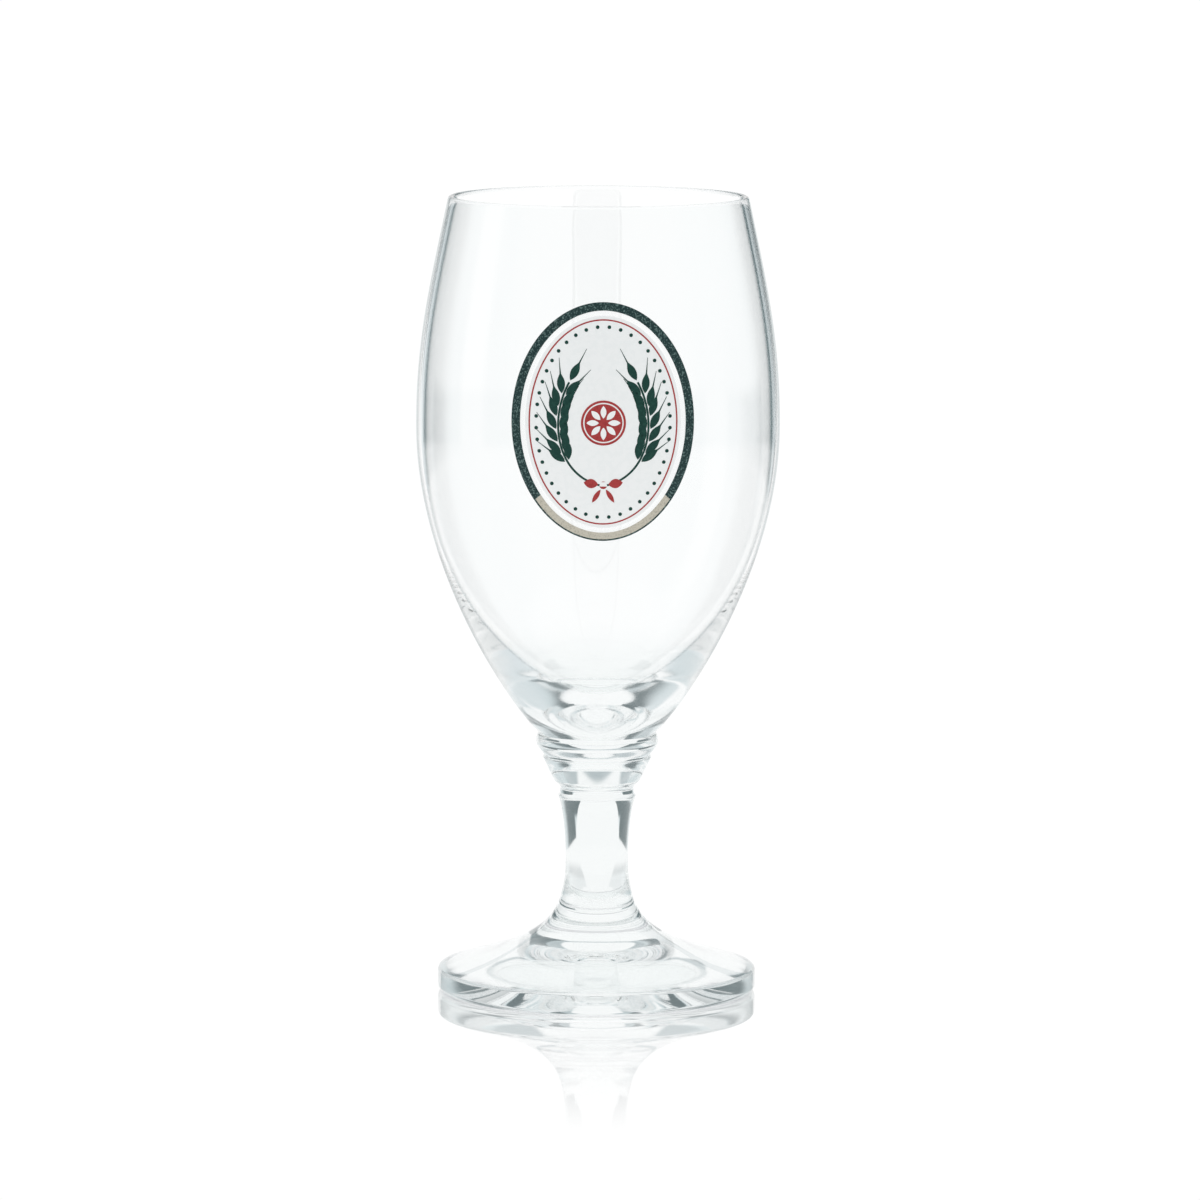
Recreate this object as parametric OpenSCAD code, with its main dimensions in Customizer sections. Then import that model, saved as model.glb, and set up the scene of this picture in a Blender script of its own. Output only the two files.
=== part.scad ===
// Stemmed pilsner glass: tulip bowl with a thick bottom, two-tier neck, drawn stem, thick-edged foot,
// and an oval print fired on the front. Millimetres, +Z up. The origin is on the axis, in the plane
// that the foot stands on, and the print faces -Y.

/* [Bowl] */
// Height of the bowl above the collar
bowl_h = 118; // [104:1:140]
// Outer diameter at the rim
rim_d = 65.8; // [60:0.2:74]
// Outer diameter at the belly
belly_d = 79.6; // [76:0.2:90]
// Height of the belly above the bowl's root
belly_h = 67.8; // [62:0.2:74]
// Outer diameter of the root, where the bowl stands on the collar
root_d = 25.4; // [22:0.2:26.4]
// Wall at the rim
rim_wall = 1.5; // [1.2:0.1:2.4]
// Wall at the belly
belly_wall = 1.6; // [1.2:0.1:2.4]
// Thickness of the bottom on the axis
bottom_h = 3.5; // [2.5:0.1:8]

/* [Collar] */
// Height of the collar
collar_h = 5; // [4:0.2:8]
// Widest diameter of the collar
collar_d = 26.8; // [26.6:0.2:32]
// Height of the rounded crown above the collar's widest line
crown_h = 1.8; // [1:0.1:2.6]

/* [Knop] */
// Height of the knop, the second tier of the neck
knop_h = 8.9; // [7.4:0.1:12]
// Diameter of the knop at its top
knop_d = 23.8; // [20:0.2:25.4]
// Rounding of the knop's top edge
knop_edge = 0.4; // [0.2:0.1:0.8]
// Diameter of the knop's shoulder, where the taper ends
shoulder_d = 19.2; // [18:0.2:19.6]
// Height of the shoulder above the knop's foot
shoulder_h = 3.7; // [3.2:0.1:5]
// Diameter of the neck under the shoulder
neck_d = 16.1; // [15:0.1:16.6]
// Height of the neck above the knop's foot
neck_h = 1.6; // [1:0.1:2.4]

/* [Stem] */
// Height of the stem
stem_h = 22; // [16:0.5:50]
// Diameter of the ring at the stem's top
stem_top_d = 17; // [16.7:0.1:18]
// Diameter of the stem's waist
waist_d = 13.7; // [11:0.1:15]
// Height of the waist above the foot's crown
waist_h = 7.9; // [5:0.1:12]
// Diameter of the stem's lower end
stem_end_d = 15.6; // [15.1:0.1:17]

/* [Foot] */
// Height of the foot, from the table to the stem
foot_h = 21.1; // [18:0.1:26]
// Diameter of the foot
foot_d = 69.9; // [60:0.1:84]
// Height of the foot's edge, up to the line where the top begins
edge_h = 5.2; // [4:0.1:7]
// Rounding at the top of the foot's edge
edge_top_r = 0.9; // [0.5:0.1:1.4]
// Rounding at the bottom of the foot's edge
edge_bottom_r = 1.3; // [0.8:0.1:1.8]
// Width of the flat ring that the foot stands on
stand_w = 1.6; // [1:0.1:4]
// Rise of the hollow under the foot
hollow_h = 6.5; // [1.5:0.1:8]

/* [Print] */
// Height of the middle of the print above the collar
print_z = 72.4; // [60:0.2:80]
// Width of the print, straight across
print_w = 39; // [34:0.5:44]
// Height of the print
print_h = 51.2; // [44:0.2:56]
// Width of the dark border
border_w = 1.8; // [1.4:0.1:2.6]
// Clear glass between the border and the pale ground
clear_w = 1.1; // [0.6:0.1:1.6]
// Pale margin outside the hairline
margin_w = 0.7; // [0.4:0.1:1.2]
// Width of the hairline
hairline_w = 0.3; // [0.2:0.05:0.5]
// Half the angle that the silver stretch at the bottom of the border takes
silver_half_angle = 40; // [10:1:60]
// Dark line left beside the silver
silver_edge = 0.35; // [0.2:0.05:0.5]
// Diameter of a bead
bead_d = 0.8; // [0.5:0.05:1]
// Number of beads
bead_count = 44; // [24:2:56]
// Clear space between the hairline and the beads
bead_gap = 0.9; // [0.5:0.1:1.4]
// Diameter of the rosette
rosette_d = 9.6; // [7:0.2:11]
// Number of petals in the rosette
petal_count = 8; // [5:1:10]
// Pairs of grains on each ear
grain_pairs = 7; // [4:1:8]
// Length of a grain
grain_l = 4.2; // [3:0.1:4.6]
// Width of a grain
grain_w = 1.7; // [1.2:0.1:2]
// Width of an ear's stalk
stalk_w = 0.45; // [0.3:0.05:0.8]
// Room kept free beside an ear, towards the rosette and towards the beads
ear_gap = 1.1; // [0.6:0.1:2]
// Length of a grain's bristle
bristle_l = 3.4; // [2:0.1:5]
// Width of the tie's bow
bow_w = 8.4; // [6:0.2:10]
// Thickness of one layer of ink
ink_t = 0.1; // [0.05:0.01:0.2]

/* [Curves] */
// Lean of the wall at the rim, in degrees
rim_lean = 12; // [6:1:18]
// Lean of the outside at the bowl's root, in degrees
root_lean = 46; // [36:1:54]
// Lean of the stem under its top ring, in degrees
stem_top_lean = 18; // [12:1:24]
// Lean where the stem runs into the foot, in degrees
stem_end_lean = 13; // [8:1:18]
// Slope of the foot's top at its edge, in degrees
foot_slope = 19; // [12:1:22]

/* [Hidden] */

$fn = 64;

// Steps in each long and each short curve
long_steps = 26;
short_steps = 10;

// Shares of each span that a curve keeps the direction of its end
rim_pull_share = 0.4;
belly_up_pull_share = 0.37;
belly_down_pull_share = 0.457;
root_pull_share = 0.15;
cavity_side_pull_share = 0.72;
cavity_floor_pull_share = 0.2;
crown_pull_share = 0.55;
taper_pull_share = 0.35;
shoulder_pull_share = 0.45;
neck_pull_share = 0.5;
stem_top_pull_share = 0.3;
waist_up_pull_share = 0.31;
waist_down_pull_share = 0.3;
stem_end_pull_share = 0.5;
foot_top_pull_share = 0.65;
foot_edge_pull_share = 0.42;
hollow_edge_pull_share = 0.45;
hollow_mid_pull_share = 0.55;

// Heights of the joins
stem_z = foot_h;
knop_z = stem_z + stem_h;
collar_z = knop_z + knop_h;
bowl_z = collar_z + collar_h;
total_h = bowl_z + bowl_h;
belly_z = bowl_z + belly_h;
floor_z = bowl_z + bottom_h;

// Tones
glass_tone = [0.82, 0.9, 0.9, 0.45];
ground_tone = [0.91, 0.92, 0.92];
green_tone = [0.1, 0.24, 0.22];
silver_tone = [0.68, 0.66, 0.58];
red_tone = [0.68, 0.18, 0.18];

// A cubic curve from a to d, which leaves a towards b and reaches d from c
function curve(a, b, c, d, steps) = [
    for (i = [0:steps]) let (t = i / steps, u = 1 - t)
        u * u * u * a + 3 * u * u * t * b + 3 * u * t * t * c + t * t * t * d
];

// A circular arc about a centre
function arc(centre, r, from, to, steps) = [
    for (i = [0:steps]) let (angle = from + (to - from) * i / steps)
        centre + r * [cos(angle), sin(angle)]
];

// All points but the first, so that two stretches share one point
function after_first(points) = [for (i = [1:len(points) - 1]) points[i]];

function reversed(points) = [for (i = [len(points) - 1:-1:0]) points[i]];

// The points moved to the left of their run by d
function beside(points, d) = [
    for (i = [0:len(points) - 1])
        let (run = points[min(i + 1, len(points) - 1)] - points[max(i - 1, 0)])
            points[i] + d * [-run.y, run.x] / norm(run)
];

// A point's place when it goes a distance at an angle from straight up
function up_from(p, distance, lean) = p + distance * [sin(lean), cos(lean)];

// Bowl, outside, from the root up to the lip
lip_r = rim_wall / 2;
lip_centre = [rim_d / 2 - lip_r, total_h - lip_r];
lip_outer = lip_centre + lip_r * [cos(rim_lean), sin(rim_lean)];
lip_inner = lip_centre - lip_r * [cos(rim_lean), sin(rim_lean)];
belly_outer = [belly_d / 2, belly_z];
root_outer = [root_d / 2, bowl_z];
upper_span = total_h - belly_z;
outside_low = curve(
    root_outer, up_from(root_outer, root_pull_share * belly_h, root_lean),
    belly_outer - [0, belly_down_pull_share * belly_h], belly_outer, long_steps);
outside_high = curve(
    belly_outer, belly_outer + [0, belly_up_pull_share * upper_span],
    up_from(lip_outer, -rim_pull_share * upper_span, -rim_lean), lip_outer, long_steps);
outside = concat(outside_low, after_first(outside_high));

// Bowl, inside, from the lip down to the floor
belly_inner = [belly_d / 2 - belly_wall, belly_z];
cavity_floor = [0, floor_z];
inside_high = curve(
    lip_inner, up_from(lip_inner, -rim_pull_share * upper_span, -rim_lean),
    belly_inner + [0, belly_up_pull_share * upper_span], belly_inner, long_steps);
inside_low = curve(
    belly_inner, belly_inner - [0, cavity_side_pull_share * (belly_z - floor_z)],
    cavity_floor + [cavity_floor_pull_share * belly_inner.x, 0], cavity_floor, long_steps);

module bowl() {
    lip = concat(
        arc(lip_centre, lip_r, rim_lean, 90, short_steps),
        after_first(arc(lip_centre, lip_r, 90, 180 + rim_lean, short_steps)));
    color(glass_tone) rotate_extrude() polygon(concat(
        outside, after_first(lip), after_first(inside_high), after_first(inside_low), [[0, bowl_z]]));
}

module collar() {
    crown = [collar_d / 2, bowl_z - crown_h];
    base = [knop_d / 2 - knop_edge, collar_z];
    overhang = crown.x - root_d / 2;
    skirt_h = crown.y - collar_z;
    color(glass_tone) rotate_extrude() polygon(concat(
        [[0, collar_z]],
        curve(base, base + taper_pull_share * [crown.x - base.x, skirt_h],
              crown - [0, taper_pull_share * skirt_h], crown, short_steps),
        after_first(curve(crown, crown + [0, crown_pull_share * crown_h],
                          [root_d / 2 + crown_pull_share * overhang, bowl_z],
                          [root_d / 2, bowl_z], short_steps)),
        [[0, bowl_z]]));
}

module knop() {
    ring = [stem_top_d / 2, knop_z];
    neck = [neck_d / 2, knop_z + neck_h];
    shoulder = [shoulder_d / 2, knop_z + shoulder_h];
    edge_centre = [knop_d / 2 - knop_edge, collar_z - knop_edge];
    top_edge = edge_centre + [knop_edge, 0];
    taper = (top_edge - shoulder) / norm(top_edge - shoulder);
    drop = shoulder_h - neck_h;
    color(glass_tone) rotate_extrude() polygon(concat(
        [[0, knop_z]],
        curve(ring, ring + neck_pull_share * [neck.x - ring.x, 0],
              neck - [0, neck_pull_share * neck_h], neck, short_steps),
        after_first(curve(neck, neck + [0, shoulder_pull_share * drop],
                          shoulder - shoulder_pull_share * drop * taper, shoulder, short_steps)),
        arc(edge_centre, knop_edge, 0, 90, short_steps),
        [[0, collar_z]]));
}

// Stem, outside, from its lower end up to the knop
stem_end = [stem_end_d / 2, stem_z];
waist = [waist_d / 2, stem_z + waist_h];
stem_ring = [stem_top_d / 2, knop_z];
stem_outside = concat(
    curve(stem_end, up_from(stem_end, stem_end_pull_share * waist_h, -stem_end_lean),
          waist - [0, waist_down_pull_share * waist_h], waist, short_steps),
    after_first(curve(
        waist, waist + [0, waist_up_pull_share * (stem_h - waist_h)],
        up_from(stem_ring, -stem_top_pull_share * (stem_h - waist_h), stem_top_lean),
        stem_ring, long_steps)));

module stem() {
    color(glass_tone) rotate_extrude() polygon(concat([[0, stem_z]], stem_outside, [[0, knop_z]]));
}

module foot() {
    edge_x = foot_d / 2;
    top_centre = [edge_x - edge_top_r, edge_h - edge_top_r];
    top_start = top_centre + edge_top_r * [sin(foot_slope), cos(foot_slope)];
    bottom_centre = [edge_x - edge_bottom_r, edge_bottom_r];
    hollow_edge = [edge_x - edge_bottom_r - stand_w, 0];
    hollow_top = [0, hollow_h];
    rise = foot_h - edge_h;
    run = top_start.x - stem_end.x;
    color(glass_tone) rotate_extrude() polygon(concat(
        curve(hollow_top, hollow_top + [hollow_mid_pull_share * hollow_edge.x, 0],
              hollow_edge + hollow_edge_pull_share * [-hollow_edge.x, hollow_h], hollow_edge, long_steps),
        arc(bottom_centre, edge_bottom_r, -90, 0, short_steps),
        arc(top_centre, edge_top_r, 0, 90 - foot_slope, short_steps),
        after_first(curve(
            top_start,
            top_start + foot_edge_pull_share * run * [-cos(foot_slope), sin(foot_slope)],
            up_from(stem_end, -foot_top_pull_share * rise, -stem_end_lean), stem_end, long_steps)),
        [[0, stem_z]]));
}

// Half sizes of the print's nested ovals
border_size = [print_w, print_h] / 2;
window_size = border_size - [border_w, border_w];
ground_size = window_size - [clear_w, clear_w];
hairline_size = ground_size - [margin_w, margin_w];
bead_oval_size = hairline_size - [hairline_w + bead_gap, hairline_w + bead_gap] - [bead_d, bead_d] / 2;

// The bowl's outside where the print lies, and the print's layers on it
print_middle_z = bowl_z + print_z;
step_reach = bowl_h / long_steps;
print_low_z = print_middle_z - print_h / 2 - step_reach;
print_high_z = print_middle_z + print_h / 2 + step_reach;
print_run = [for (p = outside) if (p.y > print_low_z && p.y < print_high_z) p];

// A flat drawing laid on the bowl's front as a layer of ink, the first on the glass and the next on top
module ink(layer) {
    intersection() {
        rotate_extrude() polygon(concat(
            beside(print_run, -layer * ink_t), reversed(beside(print_run, (1 - layer) * ink_t))));
        translate([0, 0, print_middle_z]) rotate([90, 0, 0]) linear_extrude(height = belly_d) children();
    }
}

// An oval by its half sizes
oval_steps = 96;
function oval_point(half, angle) = [half.x * cos(angle), half.y * sin(angle)];

module oval(half) {
    polygon([for (i = [0:oval_steps - 1]) oval_point(half, 360 * i / oval_steps)]);
}

module oval_ring(half, width) {
    difference() {
        oval(half);
        oval(half - [width, width]);
    }
}

// The stretch at the bottom of the border that the silver takes
module silver_fan() {
    reach = print_h;
    polygon([[0, 0],
             [-reach * sin(silver_half_angle), -reach * cos(silver_half_angle)],
             [reach * sin(silver_half_angle), -reach * cos(silver_half_angle)]]);
}

module silver_stretch() {
    intersection() {
        oval_ring(border_size - [silver_edge, silver_edge], border_w - 2 * silver_edge);
        silver_fan();
    }
}

module print_ground() {
    color(ground_tone) ink(1) oval(ground_size);
}

module print_border() {
    color(green_tone) ink(1) difference() {
        oval_ring(border_size, border_w);
        silver_stretch();
    }
}

module print_silver() {
    color(silver_tone) ink(1) silver_stretch();
}

module print_hairline() {
    color(red_tone) ink(2) oval_ring(hairline_size, hairline_w);
}

// Distance along an oval, and the angle it is reached at
function along_oval(half) = [
    for (i = 0, s = 0; i <= oval_steps;
         i = i + 1, s = s + norm(oval_point(half, 360 * i / oval_steps)
                                 - oval_point(half, 360 * (i - 1) / oval_steps)))
        [s, 360 * i / oval_steps]
];

module print_beads() {
    table = along_oval(bead_oval_size);
    girth = table[oval_steps][0];
    color(green_tone) ink(2) for (i = [0:bead_count - 1])
        translate(oval_point(bead_oval_size, lookup(girth * (i + 0.5) / bead_count, table)))
            circle(d = bead_d);
}

// Steps along one side of a leaf and along a stalk
leaf_steps = 6;
stalk_steps = 40;

// How full a leaf is beside its tips: lower is fuller
leaf_fullness = 0.8;

// A leaf that stands on its lower tip and may end in a bristle
module leaf(length, width, bristle = 0) {
    bristle_w = bristle > 0 ? bristle_root_w : 0;
    side = [
        for (i = [1:leaf_steps - 1]) let (share = i / leaf_steps)
            [max(width / 2 * pow(sin(180 * share), leaf_fullness), bristle_w / 2), share * length]
    ];
    tip = bristle > 0
        ? [[bristle_tip_w / 2, length + bristle], [-bristle_tip_w / 2, length + bristle]]
        : [[0, length]];
    polygon(concat([[0, 0]], side, tip, reversed([for (p = side) [-p.x, p.y]])));
}

// Room for an ear between the rosette and the beads, and the middle of that room
grain_reach = grain_l + bristle_l;
ear_room = bead_oval_size.x - bead_d / 2 - rosette_d / 2;
ear_middle = [rosette_d / 2 + ear_room / 2, bead_oval_size.y - bead_d / 2 - grain_reach];

// The stalk of the right-hand ear, from the tie up, as shares of the ear's middle
stalk_shares = [[0.085, -1.08], [1.06, -0.9], [1.26, 0.035], [0.78, 0.695]];
stalk_ends = [for (share = stalk_shares) [share.x * ear_middle.x, share.y * ear_middle.y]];
stalk = curve(stalk_ends[0], stalk_ends[1], stalk_ends[2], stalk_ends[3], stalk_steps);
// Share of the stalk that stays bare
bare_share = 0.34;
// Lean of a grain from the stalk, which follows the room that the ear has
grain_lean = atan((ear_room / 2 - ear_gap) / grain_reach);
// Widths of a bristle's root and tip, as shares of the stalk's width
bristle_shares = [0.7, 0.3];
bristle_root_w = bristle_shares[0] * stalk_w;
bristle_tip_w = bristle_shares[1] * stalk_w;

// Turns what is drawn upright to the stalk's run at one of its points
module on_stalk(i) {
    run = stalk[min(i + 1, stalk_steps)] - stalk[max(i - 1, 0)];
    translate(stalk[i]) rotate(atan2(run.y, run.x) - 90) children();
}

module ear() {
    polygon(concat(beside(stalk, stalk_w / 2), reversed(beside(stalk, -stalk_w / 2))));
    for (pair = [0:grain_pairs - 1]) {
        share = bare_share + (1 - bare_share) * pair / grain_pairs;
        on_stalk(round(share * stalk_steps)) for (side = [-1, 1])
            translate([side * stalk_w, 0]) rotate(-side * grain_lean) leaf(grain_l, grain_w, bristle_l);
    }
    on_stalk(stalk_steps) translate([0, stalk_w]) leaf(grain_l, grain_w, bristle_l);
}

module print_ears() {
    color(green_tone) ink(2) {
        ear();
        mirror([1, 0]) ear();
    }
}

// A petal's length, width and distance from the middle, as shares of the rosette's diameter
petal_shares = [0.28, 0.13, 0.1];
// The outer and inner diameter of the round gap in the rosette, as shares of its diameter
round_gap_shares = [0.9, 0.84];

module print_rosette() {
    petal = petal_shares * rosette_d;
    round_gap = round_gap_shares * rosette_d;
    color(red_tone) ink(2) difference() {
        circle(d = rosette_d);
        difference() {
            circle(d = round_gap[0]);
            circle(d = round_gap[1]);
        }
        for (i = [0:petal_count - 1]) rotate(360 * i / petal_count)
            translate([0, petal[2]]) leaf(petal[0], petal[1]);
    }
}

// The knot's diameter and the distance of loops and tails from its middle, as shares of the bow's width
knot_shares = [0.2, 0.13];
// Length and width of a loop and of a tail, as shares of the bow's width
loop_shares = [0.37, 0.24];
tail_shares = [0.4, 0.12];
// Lean of the loops from straight up, and of the tails from straight down, in degrees
loop_lean = 82;
tail_lean = 32;

module print_tie() {
    knot = knot_shares * bow_w;
    loop = loop_shares * bow_w;
    tail = tail_shares * bow_w;
    color(red_tone) ink(2) translate([0, stalk[0].y]) {
        circle(d = knot[0]);
        for (side = [-1, 1]) {
            rotate(side * loop_lean) translate([0, knot[1]]) leaf(loop[0], loop[1]);
            rotate(180 + side * tail_lean) translate([0, knot[1]]) leaf(tail[0], tail[1]);
        }
    }
}

bowl();
collar();
knop();
stem();
foot();
print_ground();
print_border();
print_silver();
print_hairline();
print_beads();
print_ears();
print_rosette();
print_tie();
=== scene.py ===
"""A stemmed pilsner glass with an oval print: glass pieces turned on the axis, ink laid on the bowl."""
from math import atan, atan2, cos, hypot, pi, radians, sin, tan

import bpy
from mathutils import Matrix, Vector


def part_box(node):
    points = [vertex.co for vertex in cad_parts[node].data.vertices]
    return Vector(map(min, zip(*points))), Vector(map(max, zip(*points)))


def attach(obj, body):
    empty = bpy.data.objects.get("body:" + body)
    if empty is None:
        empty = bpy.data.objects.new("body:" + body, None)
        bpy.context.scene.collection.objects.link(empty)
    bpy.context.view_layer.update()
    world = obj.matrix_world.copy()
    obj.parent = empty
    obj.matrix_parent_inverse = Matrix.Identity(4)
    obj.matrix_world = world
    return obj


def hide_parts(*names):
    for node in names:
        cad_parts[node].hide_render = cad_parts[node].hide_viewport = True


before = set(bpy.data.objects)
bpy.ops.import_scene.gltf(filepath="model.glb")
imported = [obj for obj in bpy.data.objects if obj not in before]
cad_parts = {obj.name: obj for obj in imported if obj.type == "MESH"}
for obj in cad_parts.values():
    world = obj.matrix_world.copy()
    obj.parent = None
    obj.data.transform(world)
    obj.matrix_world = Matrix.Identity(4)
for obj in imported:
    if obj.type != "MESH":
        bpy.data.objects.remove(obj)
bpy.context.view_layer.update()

MM = 0.001

# Sizes read from the frame, in metres
TABLE_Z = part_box("foot")[0].z
STEM_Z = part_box("stem")[0].z
KNOP_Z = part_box("knop")[0].z
COLLAR_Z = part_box("collar")[0].z
BOWL_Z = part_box("bowl")[0].z
TOTAL_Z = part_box("bowl")[1].z
BELLY_R = min(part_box("bowl")[1].xy)
COLLAR_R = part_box("collar")[1].x
KNOP_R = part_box("knop")[1].x
STEM_TOP_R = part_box("stem")[1].x
FOOT_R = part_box("foot")[1].x

# Bowl
RIM_R = 32.9 * MM
RIM_WALL = 1.5 * MM
BELLY_WALL = 1.6 * MM
BELLY_H = 67.8 * MM
ROOT_R = 12.7 * MM
BOTTOM_H = 3.5 * MM
RIM_LEAN = radians(12)
ROOT_LEAN = radians(46)
RIM_PULL = 0.4
BELLY_UP_PULL = 0.37
BELLY_DOWN_PULL = 0.457
ROOT_PULL = 0.15
CAVITY_SIDE_PULL = 0.72
CAVITY_FLOOR_PULL = 0.2

# Neck
CROWN_H = 1.8 * MM
CROWN_PULL = 0.55
TAPER_PULL = 0.35
KNOP_EDGE = 0.4 * MM
SHOULDER_R = 9.6 * MM
SHOULDER_H = 3.7 * MM
NECK_R = 8.05 * MM
NECK_H = 1.6 * MM
SHOULDER_PULL = 0.45
NECK_PULL = 0.5

# Stem
WAIST_R = 6.85 * MM
WAIST_H = 7.9 * MM
STEM_END_R = 7.8 * MM
STEM_TOP_LEAN = radians(18)
STEM_END_LEAN = radians(13)
STEM_TOP_PULL = 0.3
WAIST_UP_PULL = 0.31
WAIST_DOWN_PULL = 0.3
STEM_END_PULL = 0.5

# Foot
EDGE_H = 5.2 * MM
EDGE_TOP_R = 0.9 * MM
EDGE_BOTTOM_R = 1.3 * MM
STAND_W = 1.6 * MM
HOLLOW_H = 6.5 * MM
FOOT_SLOPE = radians(19)
FOOT_TOP_PULL = 0.65
FOOT_EDGE_PULL = 0.42
HOLLOW_EDGE_PULL = 0.45
HOLLOW_MID_PULL = 0.55

# Turned glass: steps around, and steps in a long, a middle and a short curve
AROUND = 192
LONG = 60
MIDDLE = 40
SHORT = 14
SMOOTH_ANGLE = radians(22)
MERGE_DISTANCE = 0.001 * MM
LEVEL_NORMAL = 0.999


def deselect_all():
    bpy.ops.object.select_all(action="DESELECT")


def edit_all():
    """Goes into edit mode with everything selected."""
    bpy.ops.object.mode_set(mode="EDIT")
    bpy.ops.mesh.select_all(action="SELECT")


def leave_edit():
    bpy.ops.object.mode_set(mode="OBJECT")


def put_place_in_mesh():
    bpy.ops.object.transform_apply(location=True, rotation=True, scale=True)


def pick_only(piece):
    deselect_all()
    piece.select_set(True)
    bpy.context.view_layer.objects.active = piece


def curve(a, b, c, d, steps):
    """A cubic curve from a to d, which leaves a towards b and reaches d from c."""
    points = []
    for i in range(steps + 1):
        t = i / steps
        u = 1 - t
        points.append(u**3 * a + 3 * u * u * t * b + 3 * u * t * t * c + t**3 * d)
    return points


def arc(centre, r, start, end, steps):
    """An arc about a centre, from one angle to another."""
    points = []
    for i in range(steps + 1):
        angle = start + (end - start) * i / steps
        points.append(centre + r * Vector((cos(angle), sin(angle))))
    return points


def up_from(p, distance, lean):
    """The point at a distance from p, at an angle from straight up."""
    return p + distance * Vector((sin(lean), cos(lean)))


def bowl_outline():
    lip_r = RIM_WALL / 2
    lip_centre = Vector((RIM_R - lip_r, TOTAL_Z - lip_r))
    lip_outer = lip_centre + lip_r * Vector((cos(RIM_LEAN), sin(RIM_LEAN)))
    lip_inner = lip_centre - lip_r * Vector((cos(RIM_LEAN), sin(RIM_LEAN)))
    belly_outer = Vector((BELLY_R, BOWL_Z + BELLY_H))
    belly_inner = belly_outer - Vector((BELLY_WALL, 0))
    root = Vector((ROOT_R, BOWL_Z))
    floor = Vector((0, BOWL_Z + BOTTOM_H))
    upper_span = TOTAL_Z - belly_outer.y
    points = [Vector((0, BOWL_Z))]
    points += curve(root, up_from(root, ROOT_PULL * BELLY_H, ROOT_LEAN),
                    belly_outer - Vector((0, BELLY_DOWN_PULL * BELLY_H)), belly_outer, LONG)
    points += curve(belly_outer, belly_outer + Vector((0, BELLY_UP_PULL * upper_span)),
                    up_from(lip_outer, -RIM_PULL * upper_span, -RIM_LEAN), lip_outer, MIDDLE)[1:]
    points += arc(lip_centre, lip_r, RIM_LEAN, RIM_LEAN + pi, SHORT)[1:]
    points += curve(lip_inner, up_from(lip_inner, -RIM_PULL * upper_span, -RIM_LEAN),
                    belly_inner + Vector((0, BELLY_UP_PULL * upper_span)), belly_inner, MIDDLE)[1:]
    points += curve(belly_inner, belly_inner - Vector((0, CAVITY_SIDE_PULL * (belly_inner.y - floor.y))),
                    floor + Vector((CAVITY_FLOOR_PULL * belly_inner.x, 0)), floor, LONG)[1:]
    return points


def collar_outline():
    crown = Vector((COLLAR_R, BOWL_Z - CROWN_H))
    base = Vector((KNOP_R - KNOP_EDGE, COLLAR_Z))
    root = Vector((ROOT_R, BOWL_Z))
    skirt_h = crown.y - base.y
    points = [Vector((0, COLLAR_Z))]
    points += curve(base, base + TAPER_PULL * (crown - base), crown - Vector((0, TAPER_PULL * skirt_h)),
                    crown, SHORT)
    points += curve(crown, crown + Vector((0, CROWN_PULL * CROWN_H)),
                    root + Vector((CROWN_PULL * (crown.x - root.x), 0)), root, SHORT)[1:]
    points.append(Vector((0, BOWL_Z)))
    return points


def knop_outline():
    ring = Vector((STEM_TOP_R, KNOP_Z))
    neck = Vector((NECK_R, KNOP_Z + NECK_H))
    shoulder = Vector((SHOULDER_R, KNOP_Z + SHOULDER_H))
    edge_centre = Vector((KNOP_R - KNOP_EDGE, COLLAR_Z - KNOP_EDGE))
    taper = (edge_centre + Vector((KNOP_EDGE, 0)) - shoulder).normalized()
    drop = SHOULDER_H - NECK_H
    points = [Vector((0, KNOP_Z))]
    points += curve(ring, Vector((ring.x + NECK_PULL * (neck.x - ring.x), ring.y)),
                    neck - Vector((0, NECK_PULL * NECK_H)), neck, SHORT)
    points += curve(neck, neck + Vector((0, SHOULDER_PULL * drop)), shoulder - SHOULDER_PULL * drop * taper,
                    shoulder, SHORT)[1:]
    points += arc(edge_centre, KNOP_EDGE, 0, pi / 2, SHORT)
    points.append(Vector((0, COLLAR_Z)))
    return points


def stem_outline():
    end = Vector((STEM_END_R, STEM_Z))
    waist = Vector((WAIST_R, STEM_Z + WAIST_H))
    ring = Vector((STEM_TOP_R, KNOP_Z))
    upper_span = ring.y - waist.y
    points = [Vector((0, STEM_Z))]
    points += curve(end, up_from(end, STEM_END_PULL * WAIST_H, -STEM_END_LEAN),
                    waist - Vector((0, WAIST_DOWN_PULL * WAIST_H)), waist, SHORT)
    points += curve(waist, waist + Vector((0, WAIST_UP_PULL * upper_span)),
                    up_from(ring, -STEM_TOP_PULL * upper_span, STEM_TOP_LEAN), ring, MIDDLE)[1:]
    points.append(Vector((0, KNOP_Z)))
    return points


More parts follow.
